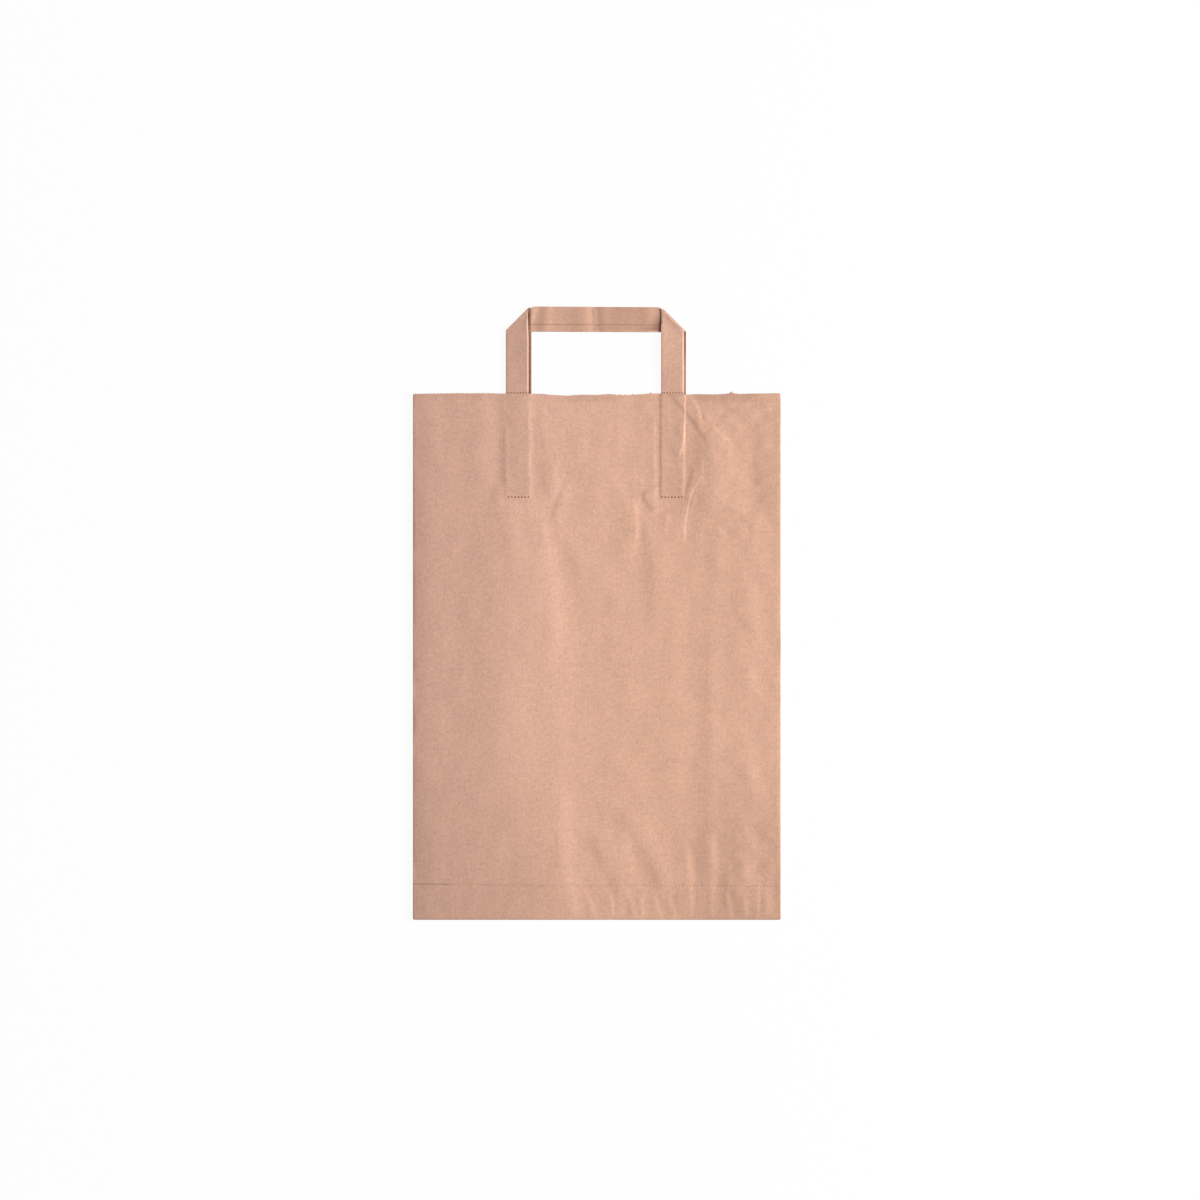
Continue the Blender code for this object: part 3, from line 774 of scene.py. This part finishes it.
def make_strip(name, front, handle, material):
    """A handle as one folded strip: leg, bar and leg.

    The section is carried up a leg, whose rows turn from level to the corner's diagonal, half
    round a circle whose axis is that diagonal, along the bar and down the other side the same
    way. The legs and the bar take small lifts of their own: a leg opens away from its fold, its
    right edge rolls down, and the bar is pinched beside the left leg.
    """
    across, height, flat, cut = strip_section(handle)
    facing = 1.0 if front else -1.0
    leg_z, bar_z = (FRONT_LEG_Z, FRONT_BAR_Z) if front else (BACK_LEG_Z, BACK_BAR_Z)
    rise = HANDLE_RISE - FOLD_REACH - STRIP_WIDTH - (0.0 if front else BACK_HANDLE_DROP)
    drops = FRONT_BAR_DROP if front else BACK_BAR_DROP
    shifts = (FRONT_HANDLE_SHIFT, FRONT_HANDLE_SHIFT) if front else BACK_LEG_SHIFT
    middle = (leg_z + bar_z) / 2
    diagonal = math.sqrt(0.5)
    bar_y = {side: MOUTH_Y + rise + drop for side, drop in zip((-1, 1), drops)}
    outer = {side: shift + side * HANDLE_SPAN / 2 for side, shift in zip((-1, 1), shifts)}

    def leg(side):
        start = graded(LEG_END_Y, bar_y[side], 3.0 * MM,
                       ((MOUTH_Y, 1.5 * MM, 30 * MM), (bar_y[side], 1.0 * MM, 20 * MM)))
        share = ((start - LEG_END_Y) / (bar_y[side] - LEG_END_Y))[:, None]
        low = LEG_END_Y + 0.6 * MM * tooth_line(across, 2.8 * MM, 41) * (share == 0)
        y = low + (bar_y[side] + across - low) * share
        below = (bar_y[side] + across - y) * diagonal
        high = 0.2 * MM + 0.55 * MM * smooth(y, 236 * MM, 250 * MM)
        narrow = high * (front and side < 0) * smooth(below, 0.0, 6 * MM) * across / STRIP_WIDTH
        x = outer[side] - side * across - narrow
        free = smooth(y, MOUTH_Y + 2 * MM, MOUTH_Y + 30 * MM)
        clear = smooth(y, MOUTH_Y, MOUTH_Y + 6 * MM)
        away = smooth(below, 0.0, 3 * MM)
        inner = across / STRIP_WIDTH
        opened = handle.lift * 0.5 * smooth(below, 0.0, 13 * MM) * inner**1.6 * free
        right = STRIP_WIDTH - across if side < 0 else across
        left = STRIP_WIDTH - right
        roll = 0.42 * MM * np.exp(-((right / (0.55 * MM)) ** 2)) * (0.3 + 0.7 * clear)
        roll = roll + handle.edge_roll * np.exp(-((left / (0.9 * MM)) ** 2))
        sway = 0.30 * MM * clear * away * ripple(x / 1.6, y, 50 + side, 0.022, 8) * 0.5
        z = leg_z + facing * height + sway * (1.0 if front else 0.25)
        return x, y, z + (opened - roll * away if front else -0.3 * roll * away)

    def fold(side):
        angle = (math.pi * np.linspace(0.0, 1.0, 10)[1:-1])[:, None]
        reach = FOLD_RADIUS + height
        out = reach * np.sin(angle) * diagonal
        x = outer[side] + side * (out - across)
        return x, bar_y[side] + across + out, middle + facing * reach * np.cos(angle)

    def bar():
        share = graded(0.0, 1.0, 0.02, ((0.0, 0.004, 0.22), (1.0, 0.008, 0.25)))[:, None]
        x = (outer[-1] + across) * (1.0 - share) + (outer[1] - across) * share
        y = (bar_y[-1] + across) * (1.0 - share) + (bar_y[1] + across) * share
        z = bar_z - facing * height + 0 * x
        if not front:
            return x, y, z
        from_left = x - (outer[-1] + STRIP_WIDTH)
        from_right = outer[1] - STRIP_WIDTH - x
        inside = smooth(from_left, -1.5 * MM, 6 * MM) * smooth(from_right, -2.5 * MM, 3 * MM)
        y = y + BAR_SPREAD * (across / STRIP_WIDTH) ** 2 * inside
        slant = 1.2 * MM + 3.6 * MM * smooth(across, 5 * MM, 19 * MM)
        ridge = handle.pinch * bell(from_left, 1.2 * MM, 0.9 * MM, slant)
        ridge = ridge * (0.35 + 0.65 * smooth(across, 5 * MM, 11 * MM))
        lean = 1.5 * MM * (across / STRIP_WIDTH - 0.5)
        wave = 0.70 * bell(x - lean, -43.0 * MM, 9 * MM, 2.2 * MM)
        wave = wave - 1.00 * bell(x + lean, -1.6 * MM, 5.0 * MM, 4.6 * MM)
        wave = wave + 0.60 * bell(x + lean, -9.8 * MM, 11 * MM, 3.0 * MM)
        wave = wave + 0.90 * bell(x, 46 * MM, 30 * MM, 6 * MM)
        wave = wave - 0.25 * bell(x, -26 * MM, 7 * MM, 6 * MM)
        wave = wave + 0.06 * ripple(x, y * 0.5, 61, 0.016, 8)
        wave = wave * MM * smooth(from_left, 2 * MM, 14 * MM) * smooth(from_right, 0.0, 12 * MM)
        roll = 0.15 * MM * (np.exp(-((across / (1.1 * MM)) ** 2)) - 0.5 * cut)
        return x, y, z + ridge + wave - roll * inside

    strip = PaperMesh()
    turned = [[part[::-1] for part in side] for side in (fold(1), leg(1))]
    rows = [leg(-1), fold(-1), bar(), *turned]
    x, y, z = (np.vstack(parts) for parts in zip(*rows))
    step = np.sqrt(sum(np.diff(part, axis=0) ** 2 for part in (x, y, z)))
    along = np.vstack((0 * x[:1], np.cumsum(step, axis=0)))
    numbers = strip.rows(x, y, z, np.broadcast_to(flat, x.shape), along)
    strip.weave(numbers if front else numbers[:, ::-1])
    return strip.finish(name, PAPER, material)


def arithmetic(operation, swapped=False):
    """A method that adds a Math node for a number and another one, or the two swapped."""

    def method(self, other=0.0):
        pair = (other, self) if swapped else (self, other)
        return self.paint.add("ShaderNodeMath", {"operation": operation}, dict(enumerate(pair)))

    return method


class Wire:
    """A number that varies over the paper. Arithmetic on it adds Math nodes."""

    def __init__(self, paint, socket):
        self.paint = paint
        self.socket = socket

    __add__ = arithmetic("ADD")
    __radd__ = arithmetic("ADD", swapped=True)
    __sub__ = arithmetic("SUBTRACT")
    __rsub__ = arithmetic("SUBTRACT", swapped=True)
    __mul__ = arithmetic("MULTIPLY")
    __rmul__ = arithmetic("MULTIPLY", swapped=True)
    __truediv__ = arithmetic("DIVIDE")
    __mod__ = arithmetic("FLOORED_MODULO")
    __gt__ = arithmetic("GREATER_THAN")
    __lt__ = arithmetic("LESS_THAN")
    __abs__ = arithmetic("ABSOLUTE")


class Paint:
    """Builds one node tree."""

    def __init__(self, tree):
        self.tree = tree
        self.tree.nodes.clear()

    def add(self, kind, settings=None, inputs=None, output=0):
        """Adds a node of a type, with its settings first and then the values or links of its
        sockets, and gives one of its outputs."""
        node = self.tree.nodes.new(kind)
        for setting, value in (settings or {}).items():
            setattr(node, setting, value)
        for place, value in (inputs or {}).items():
            if isinstance(value, Wire):
                self.tree.links.new(value.socket, node.inputs[place])
            else:
                node.inputs[place].default_value = value
        return Wire(self, node.outputs[output]) if node.outputs else None

    def noise(self, vector, scale, detail=2.0, roughness=0.5):
        """Noise of about the given number of lumps a metre, around 0 and mostly within a half."""
        sockets = {"Vector": vector, "Scale": scale, "Detail": detail, "Roughness": roughness}
        return self.add("ShaderNodeTexNoise", {"noise_dimensions": "3D"}, sockets) - 0.5

    def step(self, value, low, high):
        """Rises smoothly from 0 at low to 1 at high."""
        settings = {"interpolation_type": "SMOOTHSTEP"}
        sockets = {"Value": value, "From Min": low, "From Max": high, "To Min": 0.0, "To Max": 1.0}
        return self.add("ShaderNodeMapRange", settings, sockets)

    def ramp_mm(self, value, low, high):
        """Rises smoothly from 0 at low to 1 at high, both in millimetres."""
        return self.step(value, low * MM, high * MM)

    def band_mm(self, value, middle, outer, inner):
        """1 within the inner half width round the middle and 0 past the outer one, all in
        millimetres."""
        return self.ramp_mm(abs(value - middle * MM), outer, inner)

    def blend(self, share, first, second):
        """Mixes two colours."""
        return self.add("ShaderNodeMix", {"data_type": "RGBA"}, {0: share, 6: first, 7: second}, 2)

    def shade(self, colour, amount):
        """A colour made lighter or darker by an amount around 1."""
        return self.add("ShaderNodeVectorMath", {"operation": "SCALE"}, {0: colour, "Scale": amount})

    def stretched(self, vector, scale):
        """A vector scaled along each axis."""
        return self.add("ShaderNodeVectorMath", {"operation": "MULTIPLY"}, {0: vector, 1: scale})

    def parts(self, vector):
        """The x, y and z of a vector."""
        split = self.add("ShaderNodeSeparateXYZ", None, {0: vector})
        return [Wire(self, output) for output in split.socket.node.outputs]


def opaque(colour):
    """A colour with full alpha."""
    return (colour[0], colour[1], colour[2], 1.0)


def tint(red, green, blue):
    """A display colour of 0 to 255 a channel as an opaque linear colour."""
    return opaque(linear(red, green, blue))


def front_middle():
    """Where the middle of the front ply lies on the flat sheet."""
    done = 0.0
    for run in sheet_runs():
        if run[0] == "front":
            return done + run_length(run) / 2
        done += run_length(run)
    raise ValueError("the sheet has no front ply")


def kraft(name, warm, pink, tone, marks):
    """Kraft paper: a fine fibre mottle, slight lengthwise grain, soft clouds, a few dark flecks,
    and a slow turn from warm to pink. The piece's painted shade and highlights come on top of it."""
    material = bpy.data.materials.new(name)
    material.use_nodes = True
    paint = Paint(material.node_tree)
    sheet = paint.add("ShaderNodeUVMap", {"uv_map": SHEET_UV})
    placed = paint.add("ShaderNodeTexCoord", None, None, "Object")
    x, y, _ = paint.parts(placed)

    fibre = paint.noise(paint.stretched(sheet, (1.0, 0.75, 1.0)), 560.0, 3.0, 0.75)
    mottle = paint.noise(sheet, 230.0, 2.0, 0.6)
    grain = paint.noise(paint.stretched(sheet, (1.0, 0.14, 1.0)), 460.0, 2.0, 0.5)
    cloud = paint.noise(placed, 36.0, 2.0, 0.5)
    fleck = paint.step(paint.noise(sheet, 300.0, 1.0, 0.5), 0.20, 0.27)
    hue = paint.noise(placed, 170.0, 2.0, 0.8)

    turn = paint.step(x - y * 0.10, -0.16, 0.10)
    colour = paint.blend(turn * 0.8 + hue * 2.2 + 0.1, opaque(pink), opaque(warm))
    amount = 1.0 + fibre * 0.62 + mottle * 0.26 + grain * 0.10 + cloud * 0.12 - fleck * 0.14
    colour = paint.shade(colour, amount * tone(paint, x, y))
    # The piece's painted shade and highlights
    colour = marks(paint, colour, sheet, placed)

    rough = 0.80 + mottle * 0.12
    relief = fibre * 0.6 + grain * 0.3 + mottle * 0.5
    sockets = {"Strength": 0.35, "Distance": 0.00025, "Height": relief}
    bump = paint.add("ShaderNodeBump", None, sockets)
    sockets = {
        "Base Color": colour,
        "Roughness": rough,
        "Normal": bump,
        "Metallic": 0.0,
        "Specular IOR Level": 0.25,
    }
    shader = paint.add("ShaderNodeBsdfPrincipled", None, sockets)
    paint.add("ShaderNodeOutputMaterial", None, {"Surface": shader})
    return material


def bag_tone(paint, x, y):
    """The sheet's slow changes of tone: lighter right of the left leg, and darker on the right,
    towards the bottom corners and over the left leg. Painted shade darkens it along the left fold,
    where the ply curls down away from the lamp, and under the mouth, where the back ply lies in
    shadow beyond the front ply's edge."""
    light = paint.band_mm(x, -42, 62, 0) * paint.ramp_mm(y, -235, -80)
    middle = paint.band_mm(x, 15, 90, 0)
    # Painted shade along the left fold, where the ply curls down away from the lamp
    left = paint.ramp_mm(x, -132, -160)
    right = paint.ramp_mm(x, 0, 90) * 0.052 + paint.ramp_mm(x, 136, 152) * 0.030
    corners = paint.band_mm(x, 15, 55, 95) * paint.ramp_mm(y, -110, -200)
    low = paint.ramp_mm(y, -190, -262)
    on_leg = paint.band_mm(x, -69.5, 10.5, 8.5) * 0.085
    on_leg = on_leg + paint.band_mm(x, 65.5, 10.5, 7.5) * 0.035
    on_leg = on_leg * paint.ramp_mm(y, 99, 102)
    beside = paint.band_mm(x, -50.5, 8, 4) * paint.ramp_mm(y, 100, 114)
    on_leg = on_leg + beside * paint.ramp_mm(y, 174, 160) * 0.025
    # Painted shade under the mouth, where the back ply lies in shadow beyond the front ply's edge
    under = paint.ramp_mm(y, 181, 186)
    mouth_painted_shade = paint.band_mm(x, -7, 27, 17) + paint.band_mm(x, 112, 34, 20)
    half_way = paint.band_mm(y, -30, 150, 90) * paint.ramp_mm(x, 20, 90)
    pale = light * 0.06 + middle * 0.03 + half_way * 0.03
    side = left * 0.06 + right + paint.ramp_mm(x, -40, -100) * 0.018
    high = on_leg + under * (mouth_painted_shade * 0.10 + 0.02)
    return pale + 0.985 - side - corners * 0.06 - low * 0.04 - high


def strip_tone(paint, x, y):
    """The handles are a little darker than the sheet, and the bar has painted shade that deepens
    towards the right, where the right leg shades it.
    """
    bar = paint.ramp_mm(y, 245, 247) * paint.ramp_mm(x, 56.5, 55.5)
    return paint.ramp_mm(x, -80, 80) * 0.02 + 0.935 - bar * paint.ramp_mm(x, -30, 50) * 0.11


def dotted(paint, across, along, pitch, line, tight):
    """A dotted line: 1 on its dots. The dots lie a pitch apart across, and the line is fine
    along."""
    dots = paint.step(abs((across / pitch) % 1.0 - 0.5), 0.30, 0.14)
    return paint.step(abs(along), line, tight) * dots


def painted_edge_shade_and_highlight(paint, colour, sheet, placed):
    """Painted shade and highlight along toothed edges: a dashed painted shadow where each leg's
    toothed end presses up under the front ply, and a finer dotted painted shadow above the lip's
    cut edge, with a painted highlight on the lip itself just below it."""
    u, v, _ = paint.parts(sheet)
    x = u - front_middle()
    # Painted shadow: dark dashes where each leg's toothed end presses up under the front ply
    leg_end_painted_shadow = dotted(paint, x, v - (LEG_END_Y - 0.1 * MM), 2.9 * MM, 0.75 * MM, 0.30 * MM)
    inside = 0.0
    for (left, right), inset in zip(FRONT_LEGS, (1.4 * MM, 0.3 * MM)):
        inside = (x > left + inset) * (x < right + 1.0 * MM) + inside
    colour = paint.blend(leg_end_painted_shadow * inside * 0.95, colour, tint(70, 34, 20))
    # Painted shadow: a dotted dark line just above the lip's cut edge, with a solid one at the far
    # left
    over_lip = v + x * LIP_LEAN - (LIP_EDGE_Y + 0.35 * MM)
    lip_painted_shadow = dotted(paint, x, over_lip, LIP_TOOTH_PITCH, 0.8 * MM, 0.2 * MM) * 0.16
    lip_painted_shadow = lip_painted_shadow + paint.ramp_mm(abs(over_lip), 0.8, 0.2) * paint.ramp_mm(x, -126, -130) * 0.30
    colour = paint.blend(lip_painted_shadow, colour, tint(120, 82, 66))
    # Painted highlight: a dotted lighter line on the lip just below its cut edge
    across, _, _ = paint.parts(placed)
    edge_v = 2 * TUBE_BOTTOM_Y - FOLD_FLAT_LENGTH - LIP_EDGE_Y
    from_edge = v - across * LIP_LEAN - edge_v - 0.8 * MM
    rim = dotted(paint, x + 1.6 * MM, from_edge, LIP_TOOTH_PITCH, 0.9 * MM, 0.3 * MM)
    return paint.shade(colour, rim * paint.ramp_mm(x, -128, -120) * 0.13 + 1.0)


def front_strip_painted_light(paint, colour, sheet, placed):
    """The front strip's painted light and shade: a thin painted shadow along the lapping flap's cut
    edge, painted shadows of the front ply's teeth as dots where a leg passes the mouth, the bar's
    warmer tone, partly its inner face and partly painted reflected light, painted brown shade in the
    slot beside the left leg, a painted shadow of the right leg on the bar beside it and painted
    highlights along the legs' right edges."""
    u, _, _ = paint.parts(sheet)
    x, y, z = paint.parts(placed)
    # Painted shadow along the lapping flap's cut edge
    colour = paint.blend(paint.ramp_mm(u, 0.60, 0.30) * 0.75, colour, tint(120, 76, 52))
    # Painted shadows of the front ply's teeth, dotted across each leg just above the mouth
    dots = dotted(paint, x, y - (MOUTH_Y + 1.3 * MM), 2.6 * MM, 0.8 * MM, 0.3 * MM)
    colour = paint.blend(dots * 0.8, colour, tint(100, 58, 44))
    # The bar's warmer tone: partly the strip's inner face, partly painted light reflected between
    # the layers
    bar = paint.ramp_mm(y, 245, 246) * paint.ramp_mm(abs(x), 57.4, 55.0)
    colour = paint.blend(bar * 0.22, colour, tint(206, 156, 124))
    # Painted brown shade in the slot beside the left leg, stronger lower down
    low = (z < FRONT_BAR_Z + 1.2 * MM) * paint.ramp_mm(y, 245, 246)
    slot = paint.ramp_mm(x, -56.0, -59.2) * paint.ramp_mm(x, -60.4, -59.9) * low
    depth = paint.ramp_mm(y, 272, 258) * 0.70 + 0.15
    colour = paint.blend(slot * depth, colour, tint(134, 74, 40))
    # Painted shadow of the right leg on the bar, wider lower down
    shaded = paint.ramp_mm(x - y * 0.85, -172.5, -157) * paint.ramp_mm(x, 57.5, 56.5) * low
    colour = paint.blend(shaded * 0.68, colour, tint(124, 84, 72))
    # Painted highlights along the legs' right edges
    rims = paint.band_mm(x, -60.3, 0.9, 0.4) + paint.band_mm(x, 74.9, 1.0, 0.4)
    rims = rims * paint.step(y, MOUTH_Y, MOUTH_Y + 3 * MM) * paint.ramp_mm(y, 262, 250)
    return paint.blend(rims * 0.5, colour, tint(226, 198, 180))


def back_edges_painted_shade(paint, colour, sheet, placed):
    """Painted shade on the back strip's folded edges, on the side that faces the front strip, where
    they lie in the front strip's shade: brown, and darkest just beside it."""
    x, y, _ = paint.parts(placed)
    # Painted shade: the folded edges turn brown where they show beside the front strip
    left = paint.band_mm(x, -57.6, 2.2, 1.5)
    right = paint.band_mm(x, 77.0, 2.0, 1.3)
    below = paint.ramp_mm(y, 246, 244)
    high = paint.ramp_mm(y, 212, 232) * 0.36 + 0.58
    colour = paint.blend((left * 0.64 + right * high) * below, colour, tint(140, 80, 48))
    # Painted shadow, darkest right beside the front strip
    beside = paint.ramp_mm(x, -57.7, -59.0) * (paint.ramp_mm(y, 246, 195) * 0.45 + 0.35)
    return paint.blend(beside, colour, tint(96, 46, 24))


def take_place(piece, node):
    """Lets a new piece stand for a node of the model and move with it."""
    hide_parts(node)
    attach(piece, BODY)


class CARRIER_BAG_OT_sheet(bpy.types.Operator):
    """Makes the bag from one folded sheet of kraft paper"""

    bl_idname = "carrier_bag.make_sheet"
    bl_label = "Make the bag's sheet"

    def execute(self, context):
        bag = context.scene.bag_settings
        paper = kraft("kraft_bag_paper", bag.paper, bag.pink_paper, bag_tone, painted_edge_shade_and_highlight)
        take_place(make_bag(bag, paper), "bag_body")
        return {"FINISHED"}


class CARRIER_BAG_OT_handles(bpy.types.Operator):
    """Makes both handles, each from one folded strip of kraft paper"""

    bl_idname = "carrier_bag.make_handles"
    bl_label = "Make the handles"

    def execute(self, context):
        handle = context.scene.handle_settings
        pink = context.scene.bag_settings.pink_paper
        for name, front, node, slot in (
            ("front_strip", True, "front_handle", "front_handle_paper"),
            ("back_strip", False, "back_handle", "back_handle_paper"),
        ):
            marks = front_strip_painted_light if front else back_edges_painted_shade
            paper = kraft(f"kraft_{name}", handle.paper, pink, strip_tone, marks)
            take_place(make_strip(name, front, handle, paper), node)
        return {"FINISHED"}


def looked_at(paint):
    """1 for the camera's rays, and for rays that leave a glossy or a clear surface."""
    rays = paint.add("ShaderNodeLightPath").socket.node.outputs
    names = ("Is Camera Ray", "Is Glossy Ray", "Is Transmission Ray")
    camera, glossy, clear = (Wire(paint, rays[name]) for name in names)
    return camera + glossy + clear


def make_floor(colour):
    """A flat square under the bag. The camera and reflections see it nearly white, and the share
    of it that the lamp lights keeps the bag's shadow."""
    half = 6.0
    mesh = bpy.data.meshes.new("floor")
    corners = [(-half, -half, 0.0), (half, -half, 0.0), (half, half, 0.0), (-half, half, 0.0)]
    mesh.from_pydata(corners, [], [(0, 1, 2, 3)])
    floor = bpy.data.objects.new("floor", mesh)
    bpy.context.scene.collection.objects.link(floor)
    material = bpy.data.materials.new("pale_floor")
    material.use_nodes = True
    paint = Paint(material.node_tree)
    lit = paint.add("ShaderNodeBsdfDiffuse", None, {"Color": opaque(colour)})
    white = paint.add("ShaderNodeEmission", None, {"Color": WHITE, "Strength": 1.0})
    mixed = paint.add("ShaderNodeMixShader", None, {0: looked_at(paint) * 0.94, 1: lit, 2: white})
    paint.add("ShaderNodeOutputMaterial", None, {"Surface": mixed})
    mesh.materials.append(material)


def make_world(fill):
    """Even light from all round, which the camera and reflections see as white."""
    world = bpy.data.worlds.new("studio")
    bpy.context.scene.world = world
    world.use_nodes = True
    paint = Paint(world.node_tree)
    strength = looked_at(paint) * (1.0 - fill) + fill
    light = paint.add("ShaderNodeBackground", None, {"Color": WHITE, "Strength": strength})
    paint.add("ShaderNodeOutputWorld", None, {"Surface": light})


def make_lamp(name, place, size, power):
    """A square soft lamp that faces the middle of the bag: its turn is worked out from the line
    between them."""
    lamp = bpy.data.lights.new(name, "AREA")
    lamp.shape = "SQUARE"
    lamp.size = size
    lamp.energy = power
    holder = bpy.data.objects.new(name, lamp)
    bpy.context.scene.collection.objects.link(holder)
    x, y, z = place
    level = math.hypot(x, y)
    holder.location = place
    holder.rotation_euler = (math.atan2(level, z), 0.0, math.atan2(y, x) + math.pi / 2)


class CARRIER_BAG_OT_stage(bpy.types.Operator):
    """Makes the pale floor, the soft studio light and the camera over the bag"""

    bl_idname = "carrier_bag.make_stage"
    bl_label = "Make the stage"

    def execute(self, context):
        studio = context.scene.studio_settings
        scene = context.scene
        make_floor(studio.floor)
        make_world(studio.fill)
        make_lamp("key_lamp", (3.60, 0.10, 1.90), 1.5, studio.key_power)
        camera = bpy.data.cameras.new("camera")
        camera.lens = studio.lens
        camera.sensor_width = 36.0
        holder = bpy.data.objects.new("camera", camera)
        scene.collection.objects.link(holder)
        holder.location = (0.00274, 0.0112, FRONT_PLY_Z + studio.camera_height)
        scene.camera = holder
        scene.view_settings.view_transform = "Standard"
        return {"FINISHED"}


class CARRIER_BAG_PT_panel(bpy.types.Panel):
    """Lists the bag's operators and settings"""

    bl_idname = "CARRIER_BAG_PT_panel"
    bl_label = "Paper carrier bag"
    bl_space_type = "VIEW_3D"
    bl_region_type = "UI"
    bl_category = "Paper bag"

    def draw(self, context):
        for step, settings in (
            (CARRIER_BAG_OT_sheet, context.scene.bag_settings),
            (CARRIER_BAG_OT_handles, context.scene.handle_settings),
            (CARRIER_BAG_OT_stage, context.scene.studio_settings),
        ):
            box = self.layout.box()
            box.operator(step.bl_idname)
            for name in settings.__annotations__:
                box.prop(settings, name)


SETTINGS = (
    ("bag_settings", BagSettings),
    ("handle_settings", HandleSettings),
    ("studio_settings", StudioSettings),
)
CLASSES = (
    BagSettings,
    HandleSettings,
    StudioSettings,
    CARRIER_BAG_OT_sheet,
    CARRIER_BAG_OT_handles,
    CARRIER_BAG_OT_stage,
    CARRIER_BAG_PT_panel,
)


def register():
    for kind in CLASSES:
        bpy.utils.register_class(kind)
    for name, kind in SETTINGS:
        setattr(bpy.types.Scene, name, PointerProperty(type=kind))


def unregister():
    for name, _ in SETTINGS:
        delattr(bpy.types.Scene, name)
    for kind in reversed(CLASSES):
        bpy.utils.unregister_class(kind)


def main():
    register()
    bpy.ops.carrier_bag.make_sheet()
    bpy.ops.carrier_bag.make_handles()
    bpy.ops.carrier_bag.make_stage()


if __name__ == "__main__":
    main()
